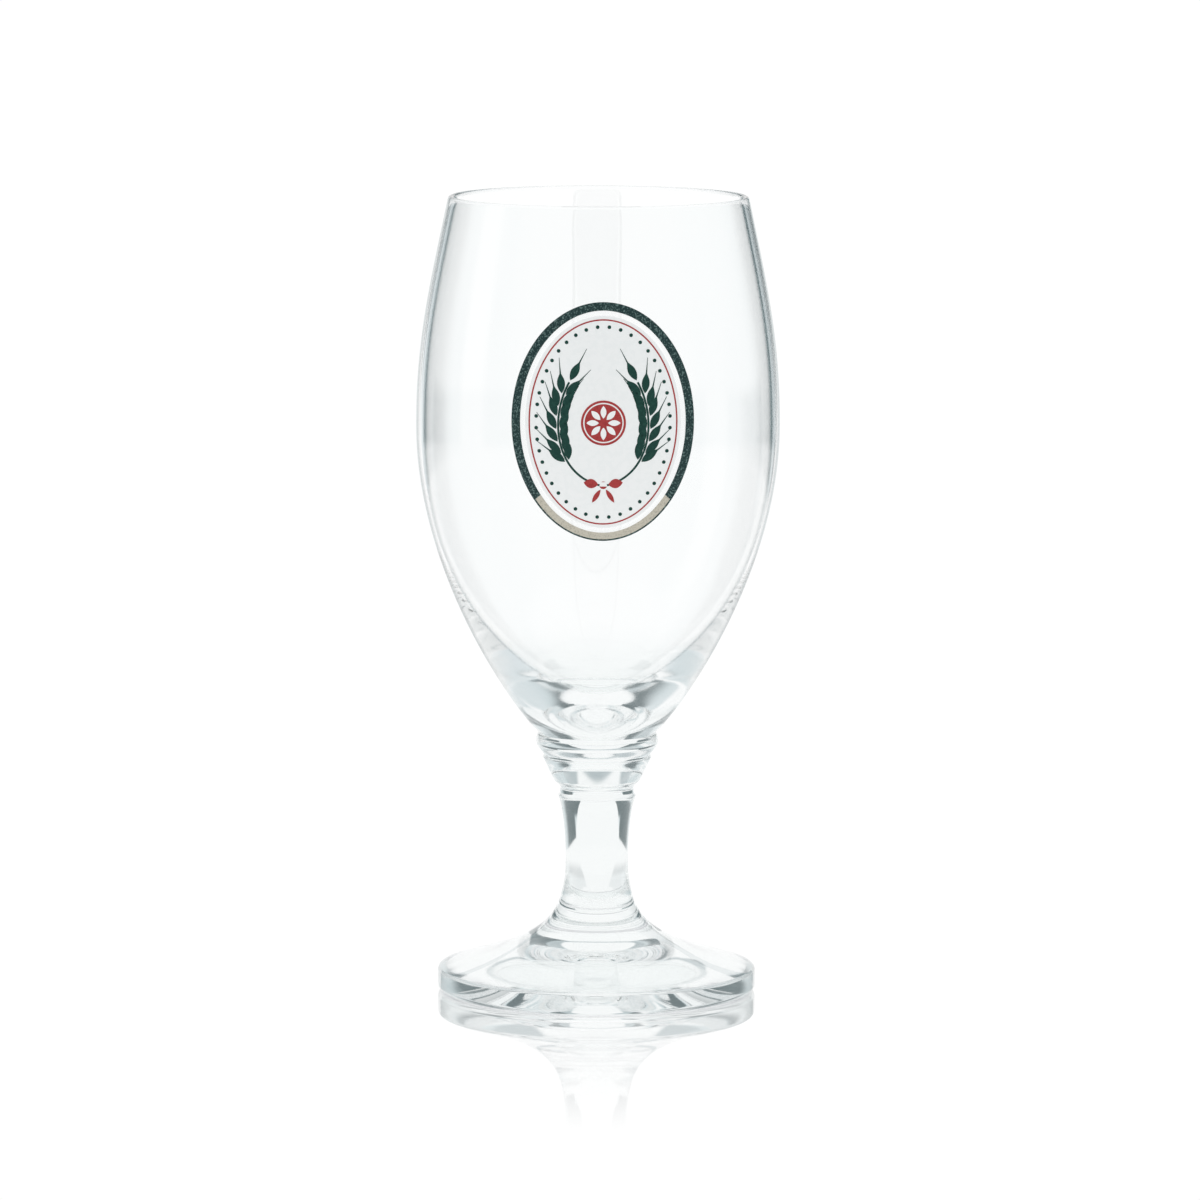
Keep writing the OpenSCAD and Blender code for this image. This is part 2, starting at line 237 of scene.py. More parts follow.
def foot_outline():
    end = Vector((STEM_END_R, STEM_Z))
    top_centre = Vector((FOOT_R - EDGE_TOP_R, EDGE_H - EDGE_TOP_R))
    top_start = top_centre + EDGE_TOP_R * Vector((sin(FOOT_SLOPE), cos(FOOT_SLOPE)))
    bottom_centre = Vector((FOOT_R - EDGE_BOTTOM_R, EDGE_BOTTOM_R))
    hollow_edge = Vector((FOOT_R - EDGE_BOTTOM_R - STAND_W, TABLE_Z))
    hollow_top = Vector((0, HOLLOW_H))
    rise = STEM_Z - EDGE_H
    run = top_start.x - end.x
    points = curve(hollow_top, hollow_top + Vector((HOLLOW_MID_PULL * hollow_edge.x, 0)),
                   hollow_edge + HOLLOW_EDGE_PULL * Vector((-hollow_edge.x, HOLLOW_H)), hollow_edge, LONG)
    points += arc(bottom_centre, EDGE_BOTTOM_R, -pi / 2, 0, SHORT)
    points += arc(top_centre, EDGE_TOP_R, 0, pi / 2 - FOOT_SLOPE, SHORT)
    points += curve(top_start,
                    top_start + FOOT_EDGE_PULL * run * Vector((-cos(FOOT_SLOPE), sin(FOOT_SLOPE))),
                    up_from(end, -FOOT_TOP_PULL * rise, -STEM_END_LEAN), end, LONG)[1:]
    points.append(Vector((0, STEM_Z)))
    return points


def turned(name, outline, joins, glass, weld):
    """A glass piece: one vertex drawn along the outline, spun about the axis; its flat joins are clear."""
    deselect_all()
    start = outline[0]
    bpy.ops.mesh.primitive_plane_add(size=MM, location=(start.x, 0, start.y))
    piece = bpy.context.active_object
    piece.name = piece.data.name = name
    put_place_in_mesh()
    edit_all()
    bpy.ops.mesh.merge(type="CENTER")
    for before, after in zip(outline, outline[1:]):
        step = after - before
        bpy.ops.mesh.extrude_region_move(TRANSFORM_OT_translate={"value": (step.x, 0, step.y)})
    bpy.ops.mesh.select_all(action="SELECT")
    bpy.ops.mesh.spin(steps=AROUND, angle=2 * pi, center=(0, 0, 0), axis=(0, 0, 1))
    bpy.ops.mesh.select_all(action="SELECT")
    bpy.ops.mesh.remove_doubles(threshold=MERGE_DISTANCE)
    bpy.ops.mesh.normals_make_consistent(inside=False)
    leave_edit()
    piece.data.materials.append(glass)
    piece.data.materials.append(weld)
    for face in piece.data.polygons:
        level = abs(face.normal.z) > LEVEL_NORMAL
        at_join = any(abs(face.center.z - join) < MERGE_DISTANCE for join in joins)
        if level and at_join:
            face.material_index = 1
    bpy.ops.object.shade_smooth_by_angle(angle=SMOOTH_ANGLE)
    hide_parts(name)
    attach(piece, "root")
    return piece


# Print: it is drawn flat in front of the bowl, then laid on it
PRINT_LOW, PRINT_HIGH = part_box("print_border")
DRAWING_AWAY = 5 * MM
PRINT_FRONT = -BELLY_R - DRAWING_AWAY
PRINT_MIDDLE = Vector((0, PRINT_FRONT, (PRINT_LOW.z + PRINT_HIGH.z) / 2))
BORDER_HALF = Vector((PRINT_HIGH.x, (PRINT_HIGH.z - PRINT_LOW.z) / 2))
INSET = Vector((1, 1))
BORDER_W = 1.8 * MM
CLEAR_W = 1.1 * MM
MARGIN_W = 0.7 * MM
HAIRLINE_W = 0.3 * MM
SILVER_HALF_ANGLE = radians(40)
SILVER_EDGE = 0.35 * MM
BEAD_R = 0.4 * MM
BEAD_COUNT = 44
BEAD_GAP = 0.9 * MM
ROSETTE_R = 4.8 * MM
ROSETTE_GAP_SHARES = (0.9, 0.84)
PETAL_COUNT = 8
PETAL_SHARES = (0.56, 0.26, 0.2)
GRAIN_PAIRS = 7
GRAIN_L = 4.2 * MM
GRAIN_W = 1.7 * MM
BRISTLE_L = 3.4 * MM
STALK_W = 0.45 * MM
EAR_GAP = 1.1 * MM
STALK_SHARES = ((0.085, -1.08), (1.06, -0.9), (1.26, 0.035), (0.78, 0.695))
BARE_SHARE = 0.34
BRISTLE_ROOT_SHARE = 0.7
BRISTLE_TIP_SHARE = 0.3
LEAF_FULLNESS = 0.8
BOW_W = 8.4 * MM
KNOT_SHARES = (0.2, 0.13)
LOOP_SHARES = (0.37, 0.24)
TAIL_SHARES = (0.4, 0.12)
LOOP_LEAN = radians(82)
TAIL_LEAN = radians(32)

# How high each layer of ink starts above the glass, and how thick it is
INK_SINK = 0.03 * MM
INK_T = 0.09 * MM
SECOND_LIFT = 0.045 * MM
SECOND_T = 0.05 * MM
THIRD_LIFT = 0.08 * MM
THIRD_T = 0.04 * MM
# Inks that cross in one layer differ by this, so that their faces never coincide
LAYER_SHIFT = 0.01 * MM

# Fineness of the drawings
OVAL_STEPS = 200
ROUND_STEPS = 64
KNOT_STEPS = 24
BEAD_STEPS = 12
GROUND_RINGS = 12
DISC_RING_SHARES = (1, 2 / 3, 1 / 3)
LEAF_ROWS = 8
BRISTLE_ROWS = 4
STALK_STEPS = 40
FINE_STEPS_A_BEAD = 20
HEIGHT_DIGITS = 9


def lay_on_bowl(piece, bowl, lift, thickness, sink=0):
    """Lays a flat drawing on the bowl's front as a layer of ink."""
    pick_only(piece)
    put_place_in_mesh()
    if sum(face.normal.y for face in piece.data.polygons) > 0:
        edit_all()
        bpy.ops.mesh.flip_normals()
        leave_edit()
    wrap = piece.modifiers.new("wrap", "SHRINKWRAP")
    wrap.target = bowl
    wrap.wrap_method = "PROJECT"
    wrap.use_project_y = True
    wrap.use_positive_direction = True
    wrap.use_negative_direction = False
    wrap.offset = lift
    bpy.ops.object.modifier_apply(modifier="wrap")
    thick = piece.modifiers.new("thick", "SOLIDIFY")
    thick.thickness = thickness
    thick.offset = 1 - 2 * sink / thickness
    bpy.ops.object.modifier_apply(modifier="thick")
    bpy.ops.object.shade_smooth_by_angle(angle=SMOOTH_ANGLE)
    return piece


def finish_ink(piece, name, material, slot, *nodes):
    piece.name = piece.data.name = name
    piece.data.materials.clear()
    piece.data.materials.append(material)
    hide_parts(*nodes)
    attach(piece, "root")
    return piece


def joined(pieces):
    deselect_all()
    for piece in pieces:
        piece.select_set(True)
    bpy.context.view_layer.objects.active = pieces[0]
    bpy.ops.object.join()
    return bpy.context.active_object


def oval_bands(ovals, filled, steps, middle=PRINT_MIDDLE):
    """Flat bands between ovals of these half sizes, from the outside in. Filled ones close on the middle."""
    deselect_all()
    bpy.ops.mesh.primitive_circle_add(vertices=steps, radius=ovals[0].x, fill_type="NOTHING",
                                      location=middle, rotation=(pi / 2, 0, 0))
    piece = bpy.context.active_object
    put_place_in_mesh()
    edit_all()
    bpy.ops.transform.resize(value=(1, 1, ovals[0].y / ovals[0].x), center_override=middle)
    for before, after in zip(ovals, ovals[1:]):
        bpy.ops.mesh.extrude_region_move(TRANSFORM_OT_translate={"value": (0, 0, 0)})
        bpy.ops.transform.resize(value=(after.x / before.x, 1, after.y / before.y), center_override=middle)
    if filled:
        bpy.ops.mesh.extrude_region_move(TRANSFORM_OT_translate={"value": (0, 0, 0)})
        bpy.ops.mesh.merge(type="CENTER")
    leave_edit()
    return piece


def copy_to(piece, x, z, turn):
    """A copy of a flat drawing, turned clockwise and put at a place on the print."""
    pick_only(piece)
    bpy.ops.object.duplicate(linked=False)
    made = bpy.context.active_object
    made.rotation_euler = (0, turn, 0)
    made.location = PRINT_MIDDLE + Vector((x, 0, z))
    return made


def discard(piece):
    pick_only(piece)
    bpy.ops.object.delete()


def rows_of(piece):
    """The heights of a grid's rows of vertices."""
    return sorted({round(v.co.z, HEIGHT_DIGITS) for v in piece.data.vertices})


def edit_where(piece, wanted):
    """Goes into edit mode with only the vertices selected that pass the test."""
    bpy.ops.object.mode_set(mode="EDIT")
    bpy.ops.mesh.select_all(action="DESELECT")
    leave_edit()
    for v in piece.data.vertices:
        v.select = wanted(v.co)
    bpy.ops.object.mode_set(mode="EDIT")


def leaf(length, width, bristle=0):
    """A flat leaf that stands upright on the world's origin, and may end in a bristle."""
    deselect_all()
    bpy.ops.mesh.primitive_grid_add(x_subdivisions=2, y_subdivisions=LEAF_ROWS, size=length,
                                    location=(0, 0, length / 2), rotation=(pi / 2, 0, 0))
    piece = bpy.context.active_object
    put_place_in_mesh()
    root_w = BRISTLE_ROOT_SHARE * STALK_W
    heights = rows_of(piece)
    for row, height in enumerate(heights):
        share = row / LEAF_ROWS
        wide = width * sin(pi * share) ** LEAF_FULLNESS if 0 < row < LEAF_ROWS else 0
        if bristle and row == LEAF_ROWS:
            continue
        edit_where(piece, lambda place: abs(place.z - height) < MERGE_DISTANCE)
        bpy.ops.transform.resize(value=(wide / length, 1, 1), center_override=(0, 0, height))
        leave_edit()
    if bristle:
        edit_where(piece, lambda place: abs(place.z - heights[-1]) < MERGE_DISTANCE)
        bpy.ops.transform.resize(value=(root_w / length, 1, 1), center_override=(0, 0, heights[-1]))
        shrink = BRISTLE_TIP_SHARE ** (1 / BRISTLE_ROWS)
        for step in range(BRISTLE_ROWS):
            bpy.ops.mesh.extrude_region_move(TRANSFORM_OT_translate={"value": (0, 0, bristle / BRISTLE_ROWS)})
            bpy.ops.transform.resize(value=(shrink, 1, 1))
        leave_edit()
    edit_all()
    bpy.ops.mesh.remove_doubles(threshold=MERGE_DISTANCE)
    leave_edit()
    return piece


def places_along_oval(half, count):
    """Places at equal distances along an oval."""
    fine = FINE_STEPS_A_BEAD * count
    points = [Vector((half.x * cos(2 * pi * i / fine), half.y * sin(2 * pi * i / fine)))
              for i in range(fine + 1)]
    travel = [0]
    for a, b in zip(points, points[1:]):
        travel.append(travel[-1] + (b - a).length)
    places = []
    for k in range(count):
        wanted = travel[-1] * (k + 0.5) / count
        i = next(n for n in range(fine) if travel[n + 1] >= wanted)
        share = (wanted - travel[i]) / (travel[i + 1] - travel[i])
        places.append(points[i].lerp(points[i + 1], share))
    return places


def stalk_strip(points, side):
    """A narrow strip along a run of points, mirrored for the left-hand side."""
    runs = [b - a for a, b in zip(points, points[1:])]
    turns = [atan2(run.x, run.y) for run in runs]
    start = PRINT_MIDDLE + Vector((side * points[0].x, 0, points[0].y))
    deselect_all()
    bpy.ops.mesh.primitive_plane_add(size=STALK_W, location=start, rotation=(pi / 2, 0, 0))
    piece = bpy.context.active_object
    put_place_in_mesh()
    edit_where(piece, lambda place: place.z < start.z)
    bpy.ops.mesh.delete(type="VERT")
    bpy.ops.mesh.select_all(action="SELECT")
    bpy.ops.transform.translate(value=(0, 0, -STALK_W / 2))
    bpy.ops.transform.rotate(value=-side * turns[0], orient_axis="Y", orient_type="GLOBAL",
                             center_override=start)
    place = start
    for i, run in enumerate(runs):
        step = Vector((side * run.x, 0, run.y))
        bpy.ops.mesh.extrude_region_move(TRANSFORM_OT_translate={"value": step})
        place = place + step
        if i + 1 < len(turns):
            bpy.ops.transform.rotate(value=-side * (turns[i + 1] - turns[i]), orient_axis="Y",
                                     orient_type="GLOBAL", center_override=place)
    leave_edit()
    return piece


def print_border(bowl, paints, window):
    """The dark border round the window, and the silver stretch at its foot."""
    outer_line = BORDER_HALF - SILVER_EDGE * INSET
    inner_line = window + SILVER_EDGE * INSET
    border = oval_bands([BORDER_HALF, outer_line, inner_line, window], False, OVAL_STEPS)
    for face in border.data.polygons:
        place = face.center - PRINT_MIDDLE
        in_fan = abs(place.x) < -place.z * tan(SILVER_HALF_ANGLE)
        inside = hypot(place.x / outer_line.x, place.z / outer_line.y) < 1
        outside = hypot(place.x / inner_line.x, place.z / inner_line.y) > 1
        face.select = in_fan and inside and outside
    bpy.ops.object.mode_set(mode="EDIT")
    bpy.ops.mesh.select_mode(type="FACE")
    bpy.ops.mesh.separate(type="SELECTED")
    bpy.ops.mesh.select_mode(type="VERT")
    leave_edit()
    silver = next(o for o in bpy.context.selected_objects if o != border)
    lay_on_bowl(border, bowl, 0, INK_T, INK_SINK)
    lay_on_bowl(silver, bowl, 0, INK_T, INK_SINK)
    finish_ink(border, "visual_border", paints["border"], "green_enamel", "print_border")
    finish_ink(silver, "visual_silver", paints["silver"], "silver_lustre", "print_silver")


def print_beads(bowl, paints, bead_oval):
    """A row of dots along an oval."""
    bead = oval_bands([BEAD_R * INSET], True, BEAD_STEPS, Vector((0, 0, 0)))
    beads = [copy_to(bead, place.x, place.y, 0) for place in places_along_oval(bead_oval, BEAD_COUNT)]
    discard(bead)
    row = lay_on_bowl(joined(beads), bowl, SECOND_LIFT, SECOND_T)
    finish_ink(row, "visual_beads", paints["green"], "green_enamel", "print_beads")


def print_rosette(bowl, paints):
    """A ring round a disc, and pale petals on the disc."""
    rosette_ring = oval_bands([ROSETTE_R * INSET, ROSETTE_GAP_SHARES[0] * ROSETTE_R * INSET], False,
                              ROUND_STEPS)
    disc_r = ROSETTE_GAP_SHARES[1] * ROSETTE_R
    disc = oval_bands([share * disc_r * INSET for share in DISC_RING_SHARES], True, ROUND_STEPS)
    rosette = lay_on_bowl(joined([rosette_ring, disc]), bowl, SECOND_LIFT, SECOND_T)
    finish_ink(rosette, "visual_rosette", paints["red"], "red_enamel", "print_rosette")
    petal = leaf(PETAL_SHARES[0] * ROSETTE_R, PETAL_SHARES[1] * ROSETTE_R)
    out = PETAL_SHARES[2] * ROSETTE_R
    petals = []
    for k in range(PETAL_COUNT):
        turn = 2 * pi * k / PETAL_COUNT
        petals.append(copy_to(petal, out * sin(turn), out * cos(turn), turn))
    discard(petal)
    flower = lay_on_bowl(joined(petals), bowl, THIRD_LIFT, THIRD_T)
    finish_ink(flower, "visual_petals", paints["ground"], "pale_enamel", "print_rosette")


def print_ears(bowl, paints, bead_oval):
    """Two mirrored ears in the room between rosette and beads. Returns the height of their feet."""
    room = bead_oval.x - BEAD_R - ROSETTE_R
    reach = GRAIN_L + BRISTLE_L
    ear_middle = Vector((ROSETTE_R + room / 2, bead_oval.y - BEAD_R - reach))
    grain_lean = atan((room / 2 - EAR_GAP) / reach)
    ends = [Vector((share[0] * ear_middle.x, share[1] * ear_middle.y)) for share in STALK_SHARES]
    stalk = curve(*ends, STALK_STEPS)
    grain = leaf(GRAIN_L, GRAIN_W, BRISTLE_L)
    grains = []
    stalks = []
    for ear in (-1, 1):
        stalks.append(stalk_strip(stalk, ear))
        for pair in range(GRAIN_PAIRS):
            i = round((BARE_SHARE + (1 - BARE_SHARE) * pair / GRAIN_PAIRS) * STALK_STEPS)
            run = (stalk[i + 1] - stalk[i - 1]).normalized()
            for side in (-1, 1):
                place = stalk[i] + side * STALK_W * Vector((run.y, -run.x))
                turn = atan2(run.x, run.y) + side * grain_lean
                grains.append(copy_to(grain, ear * place.x, place.y, ear * turn))
        run = (stalk[-1] - stalk[-2]).normalized()
        place = stalk[-1] + STALK_W * run
        grains.append(copy_to(grain, ear * place.x, place.y, ear * atan2(run.x, run.y)))
    discard(grain)
    stems = lay_on_bowl(joined(stalks), bowl, SECOND_LIFT - LAYER_SHIFT, SECOND_T)
    heads = lay_on_bowl(joined(grains), bowl, SECOND_LIFT, SECOND_T)
    finish_ink(joined([heads, stems]), "visual_ears", paints["green"], "green_enamel", "print_ears")
    return ends[0].y


def print_tie(bowl, paints, height):
    """A knot with two loops and two tails."""
    knot_r = KNOT_SHARES[0] * BOW_W / 2
    knot = oval_bands([knot_r * INSET, knot_r / 2 * INSET], True, KNOT_STEPS,
                      PRINT_MIDDLE + Vector((0, 0, height)))
    out = KNOT_SHARES[1] * BOW_W
    tie = [knot]
    for shares, lean in ((LOOP_SHARES, LOOP_LEAN), (TAIL_SHARES, pi - TAIL_LEAN)):
        ribbon = leaf(shares[0] * BOW_W, shares[1] * BOW_W)
        for side in (-1, 1):
            tie.append(copy_to(ribbon, side * out * sin(lean), height + out * cos(lean), side * lean))
        discard(ribbon)
    bow = lay_on_bowl(joined(tie), bowl, SECOND_LIFT + LAYER_SHIFT, SECOND_T)
    finish_ink(bow, "visual_tie", paints["red"], "red_enamel", "print_tie")


def print_pieces(bowl, paints):
    """The print, one piece for each ink and motif, from the border inwards."""
    window = BORDER_HALF - BORDER_W * INSET
    ground = window - CLEAR_W * INSET
    hairline = ground - MARGIN_W * INSET
    bead_oval = hairline - (HAIRLINE_W + BEAD_GAP + BEAD_R) * INSET
    print_border(bowl, paints, window)
    panel = oval_bands([ground * (1 - k / GROUND_RINGS) for k in range(GROUND_RINGS)], True, OVAL_STEPS)
    lay_on_bowl(panel, bowl, 0, INK_T, INK_SINK)
    finish_ink(panel, "visual_ground", paints["ground"], "pale_enamel", "print_ground")
    line = oval_bands([hairline, hairline - HAIRLINE_W * INSET], False, OVAL_STEPS)
    lay_on_bowl(line, bowl, SECOND_LIFT, SECOND_T)
    finish_ink(line, "visual_hairline", paints["red"], "red_enamel", "print_hairline")
    print_beads(bowl, paints, bead_oval)
    print_rosette(bowl, paints)
    tie_height = print_ears(bowl, paints, bead_oval)
    print_tie(bowl, paints, tie_height)


# Materials
def new_material(name):
    material = bpy.data.materials.new(name)
    material.use_nodes = True
    return material, material.node_tree


def node(tree, kind, inputs=(), **settings):
    """A shader node with its settings, and with its inputs set or linked."""
    made = tree.nodes.new(kind)
    for key, value in settings.items():
        setattr(made, key, value)
    for key, value in dict(inputs).items():
        socket = made.inputs[key]
        if isinstance(value, bpy.types.NodeSocket):
            tree.links.new(value, socket)
        else:
            socket.default_value = value
    return made


def blended(tree, share, low, high):
    """A colour between two."""
    made = node(tree, "ShaderNodeMix", {0: share, 6: low, 7: high}, data_type="RGBA")
    return made.outputs[2]


def calculated(tree, operation, *values):
    return node(tree, "ShaderNodeMath", dict(enumerate(values)), operation=operation).outputs[0]


def eased(tree, value, start, end):
    """0 up to start and 1 from end, with a smooth change between."""
    made = node(tree, "ShaderNodeMapRange", {0: value, 1: start, 2: end}, interpolation_type="SMOOTHSTEP")
    return made.outputs[0]


GLASS_IOR = 1.52
THIN_TINT = (0.985, 0.992, 0.992, 1)
THICK_TINT = (0.915, 0.94, 0.938, 1)
# Painted shade: the dark tone mixed into the thin wall's colour where it is seen edge-on
EDGE_ON_PAINTED_SHADE = (0.10, 0.15, 0.16, 1)
# Between these the painted shade of edge-on glass comes in: 0 is a surface that faces the eye, and 1 one seen
# edge-on
GLANCING = (0.76, 0.88)
# The heights where the thick bottom of the bowl gives way to the thin wall
THIN_FROM = BOWL_Z + BOTTOM_H
THIN_TO = BOWL_Z + 20 * MM
# Size and height of the waves in thick glass, and its softness
BLOWN_WAVES = (9 * MM, 0.012 * MM, 0.07)
PRESSED_WAVES = (7 * MM, 0.006 * MM, 0.035)


def glass_material(name, wave_size, wave_height, softness):
    """Clear glass: deeper in tone, faintly wavy and softer where thick, and with painted shade that darkens
    the thin wall where it is seen edge-on.
    """
    material, tree = new_material(name)
    shader = tree.nodes["Principled BSDF"]
    shader.inputs["IOR"].default_value = GLASS_IOR
    shader.inputs["Transmission Weight"].default_value = 1
    place = node(tree, "ShaderNodeTexCoord").outputs["Object"]
    height = node(tree, "ShaderNodeSeparateXYZ", {0: place}).outputs[2]
    thin = eased(tree, height, THIN_FROM, THIN_TO)
    thick = calculated(tree, "SUBTRACT", 1, thin)
    facing = node(tree, "ShaderNodeLayerWeight").outputs["Facing"]
    # Painted shade: the thin wall's colour turns dark where it is seen edge-on
    painted_edge_shade = calculated(tree, "MULTIPLY", thin, eased(tree, facing, *GLANCING))
    tint = blended(tree, thin, THICK_TINT, THIN_TINT)
    tree.links.new(blended(tree, painted_edge_shade, tint, EDGE_ON_PAINTED_SHADE), shader.inputs["Base Color"])
    tree.links.new(calculated(tree, "MULTIPLY", thick, softness), shader.inputs["Roughness"])
    waves = node(tree, "ShaderNodeTexNoise", {"Vector": place, "Scale": 1 / wave_size, "Detail": 0})
    bump = node(tree, "ShaderNodeBump", {"Height": waves.outputs[0], "Distance": wave_height,
                                         "Strength": thick})
    tree.links.new(bump.outputs[0], shader.inputs["Normal"])
    return material


def weld_material():
    """The flat joins between glass pieces, which are fused and can't be seen."""
    material, tree = new_material("weld")
    tree.nodes.remove(tree.nodes["Principled BSDF"])
    clear = node(tree, "ShaderNodeBsdfTransparent")
    tree.links.new(clear.outputs[0], tree.nodes["Material Output"].inputs[0])
    return material


# Fired ink: its gloss, how softly the flecks come in, and the fineness and height of its uneven coat
INK_GLOSS = 0.2
INK_ROUGHNESS = 0.35
FLECK_SOFT = 0.12
COAT_SCALE = 900
COAT_H = 0.004 * MM
# Name, colour, colour of the flecks, their size, the noise level where they start, and how metallic it is
INKS = {
    "ground": ("pale_enamel", (0.92, 0.93, 0.93, 1), (0.90, 0.915, 0.915, 1), 1.2 * MM, 0.45, 0),
    "border": ("border_enamel", (0.01, 0.035, 0.035, 1), (0.12, 0.19, 0.18, 1), 0.35 * MM, 0.52, 0),
    "green": ("green_enamel", (0.005, 0.045, 0.035, 1), (0.01, 0.06, 0.045, 1), 0.6 * MM, 0.5, 0),
    "silver": ("silver_lustre", (0.55, 0.52, 0.44, 1), (0.42, 0.4, 0.34, 1), 0.3 * MM, 0.5, 0.7),
    "red": ("red_enamel", (0.40, 0.045, 0.045, 1), (0.34, 0.035, 0.035, 1), 0.6 * MM, 0.5, 0),
}


def enamel(name, colour, fleck_colour, fleck_size, fleck_from, metallic):
    """Fired ink with fine flecks in it and a slightly uneven coat."""
    material, tree = new_material(name)
    shader = tree.nodes["Principled BSDF"]
    shader.inputs["Roughness"].default_value = INK_ROUGHNESS
    shader.inputs["Metallic"].default_value = metallic
    shader.inputs["Specular IOR Level"].default_value = INK_GLOSS
    place = node(tree, "ShaderNodeTexCoord").outputs["Object"]
    flecks = node(tree, "ShaderNodeTexNoise", {"Vector": place, "Scale": 1 / fleck_size, "Detail": 2})
    share = eased(tree, flecks.outputs[0], fleck_from, fleck_from + FLECK_SOFT)
    tree.links.new(blended(tree, share, colour, fleck_colour), shader.inputs["Base Color"])
    coat = node(tree, "ShaderNodeTexNoise", {"Vector": place, "Scale": COAT_SCALE, "Detail": 1})
    bump = node(tree, "ShaderNodeBump", {"Height": coat.outputs[0], "Distance": COAT_H, "Strength": 1})
    tree.links.new(bump.outputs[0], shader.inputs["Normal"])
    return material


# Studio: what is seen in each direction. Azimuth 0 is straight behind the glass, and rises towards +X
STRENGTH = 1.02
WALL_LOW = (0.60, 0.68, 0.70, 1)
WALL_HIGH = (0.70, 0.76, 0.78, 1)
WHITE = (1, 1, 1, 1)
DARK = (0.13, 0.17, 0.18, 1)
GREY = (0.46, 0.52, 0.54, 1)
FRONT = (0.74, 0.76, 0.76, 1)
# Middle azimuth, half width, lower and upper edge, softness across and up, colour
PANELS = (
    (30, 18, -90, 20, 3, 2, DARK),
    (40, 18, -90, 20, 8, 2, DARK),
    (-30, 18, -90, 18, 3, 3, DARK),
    (-46, 18, -90, 18, 8, 3, DARK),
    (29.5, 2.5, -90, 2.5, 1, 1.5, WALL_HIGH),
    (-27, 4, -90, 2.5, 1, 1.5, WALL_HIGH),
    (0, 9.5, -90, 20, 1, 1, WHITE),
    (0, 42, 21, 39, 4, 2, GREY),
    (-90, 10, -40, 50, 3, 3, WHITE),
    (180, 60, -10, 46, 10, 6, FRONT),
)
# Below this elevation everything is white
GROUND_FROM = -7.5
GROUND_SOFT = 1
# The lamp overhead: how far it reaches to the sides, back and front, as shares of its height
LAMP_ASIDE = 0.7
LAMP_BACK = 2.14
LAMP_FRONT = -0.6
LAMP_SOFT = 0.05
CEILING_FROM = 44
CEILING_SOFT = 4
# Near the horizon the lamp's reach is measured at this height
LEAST_HEIGHT = 0.01
# The walls' cloudiness
CLOUD_SCALE = 3
CLOUDY = (0.35, 0.65)
LIGHT_MAP = 1024


def panel_share(tree, x, y, elevation, panel):
    """How much of a direction lies in a panel, from 0 to 1."""
    middle, half, low, high, soft, soft_up = panel
    turn = radians(middle)
    aside = calculated(tree, "SUBTRACT", calculated(tree, "MULTIPLY", x, cos(turn)),
                       calculated(tree, "MULTIPLY", y, sin(turn)))
    ahead = calculated(tree, "ADD", calculated(tree, "MULTIPLY", x, sin(turn)),
                       calculated(tree, "MULTIPLY", y, cos(turn)))
    away = calculated(tree, "ABSOLUTE", calculated(tree, "ARCTAN2", aside, ahead))
    inside = calculated(tree, "SUBTRACT", 1, eased(tree, away, radians(half - soft), radians(half + soft)))
    above = eased(tree, elevation, radians(low - soft_up), radians(low + soft_up))
    below = calculated(tree, "SUBTRACT", 1,
                       eased(tree, elevation, radians(high - soft_up), radians(high + soft_up)))
    return calculated(tree, "MULTIPLY", inside, calculated(tree, "MULTIPLY", above, below))


def lamp_share(tree, x, y, z):
    """How much of a direction lies in the lamp overhead, from 0 to 1."""
    height = calculated(tree, "MAXIMUM", z, LEAST_HEIGHT)
    far_aside = calculated(tree, "DIVIDE", calculated(tree, "ABSOLUTE", x), height)
    far_back = calculated(tree, "DIVIDE", y, height)
    beside = eased(tree, far_aside, LAMP_ASIDE - LAMP_SOFT, LAMP_ASIDE + LAMP_SOFT)
    behind = eased(tree, far_back, LAMP_BACK - LAMP_SOFT, LAMP_BACK + LAMP_SOFT)
    before = eased(tree, far_back, LAMP_FRONT - LAMP_SOFT, LAMP_FRONT + LAMP_SOFT)
    return calculated(tree, "MULTIPLY", calculated(tree, "SUBTRACT", 1, beside),
                      calculated(tree, "SUBTRACT", before, behind))


def studio():
    """The world: pale walls, dark flags beside a white backdrop, white panels, a lamp and a white ceiling."""
    world = bpy.data.worlds.new("studio")
    bpy.context.scene.world = world
    world.use_nodes = True
    tree = world.node_tree
    tree.nodes.clear()
    direction = node(tree, "ShaderNodeTexCoord").outputs["Generated"]
    x, y, z = node(tree, "ShaderNodeSeparateXYZ", {0: direction}).outputs
    elevation = calculated(tree, "ARCSINE", z)
    cloud = node(tree, "ShaderNodeTexNoise", {"Vector": direction, "Scale": CLOUD_SCALE, "Detail": 2})
    cloudy = node(tree, "ShaderNodeMapRange", {0: cloud.outputs[0], 1: CLOUDY[0], 2: CLOUDY[1]}).outputs[0]
    colour = blended(tree, cloudy, WALL_LOW, WALL_HIGH)
    for *panel, tone in PANELS:
        colour = blended(tree, panel_share(tree, x, y, elevation, panel), colour, tone)
    colour = blended(tree, lamp_share(tree, x, y, z), colour, WHITE)
    ceiling = eased(tree, elevation, radians(CEILING_FROM - CEILING_SOFT),
                    radians(CEILING_FROM + CEILING_SOFT))
    colour = blended(tree, ceiling, colour, WHITE)
    sky = eased(tree, elevation, radians(GROUND_FROM - GROUND_SOFT), radians(GROUND_FROM + GROUND_SOFT))
    colour = blended(tree, sky, WHITE, colour)
    light = node(tree, "ShaderNodeBackground", {"Color": colour, "Strength": STRENGTH})
    output = node(tree, "ShaderNodeOutputWorld")
    tree.links.new(light.outputs[0], output.inputs[0])
    world.cycles.sampling_method = "MANUAL"
    world.cycles.sample_map_resolution = LIGHT_MAP


# The card behind the glass: its distance, half its width at the foot and at the top, and its height
BACKDROP_Y = 0.6
BACKDROP_HALF = 0.36
BACKDROP_TOP_HALF = 0.14
BACKDROP_H = 0.258


